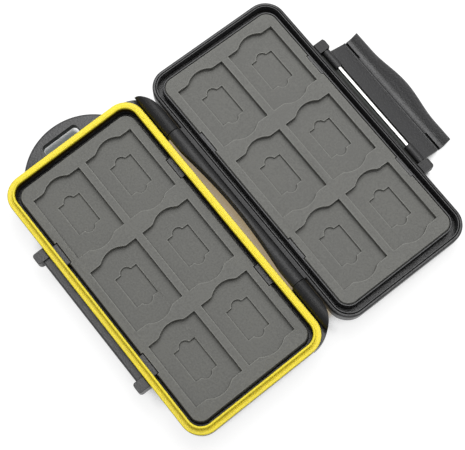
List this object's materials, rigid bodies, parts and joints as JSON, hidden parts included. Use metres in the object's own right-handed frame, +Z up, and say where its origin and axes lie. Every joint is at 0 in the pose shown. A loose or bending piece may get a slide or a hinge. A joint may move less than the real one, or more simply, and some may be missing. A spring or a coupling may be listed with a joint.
{
  "type": "memory card case",
  "caption": "Rigid hinged case for memory cards, open past flat, with a soft pocketed tray in each half, a rim seal, a full-width hook latch and a lanyard loop.",
  "frame": {"origin": "middle of the base's flat underside, on the table", "axes": "+X from the catch side to the hinge and on over the open lid, +Y to the lanyard loop, +Z up"},
  "size_m": [0.1791, 0.1503, 0.0205],
  "materials": {
    "base_shell": "fine satin texture, moulded",
    "seal": "smooth yellow elastomer",
    "base_insert": "soft matt grey",
    "hinge_pin_loop_end": "drawn and polished",
    "hinge_pin_plain_end": "drawn and polished",
    "lid_shell": "fine satin texture, moulded",
    "lid_insert": "soft matt grey",
    "latch_pin": "drawn and polished",
    "latch": "satin, moulded"
  },
  "bodies": {
    "base": {"base_shell": "base_shell", "seal": "seal", "base_insert": "base_insert", "hinge_pin_loop_end": "hinge_pin_loop_end", "hinge_pin_plain_end": "hinge_pin_plain_end"},
    "lid": {"lid_shell": "lid_shell", "lid_insert": "lid_insert", "latch_pin": "latch_pin"},
    "latch": {"latch": "latch"}
  },
  "joints": [
    {"name": "lid_hinge", "type": "hinge", "parent": "base", "child": "lid", "pos_m": [0.0397, 0, 0.0172], "axis": [0, -1, 0], "range_deg": [0, 184.93]},
    {"name": "latch_hinge", "type": "hinge", "parent": "lid", "child": "latch", "pos_m": [0.11776, 0, 0.00796], "axis": [0, -1, 0], "range_deg": [0, 110.61]}
  ]
}
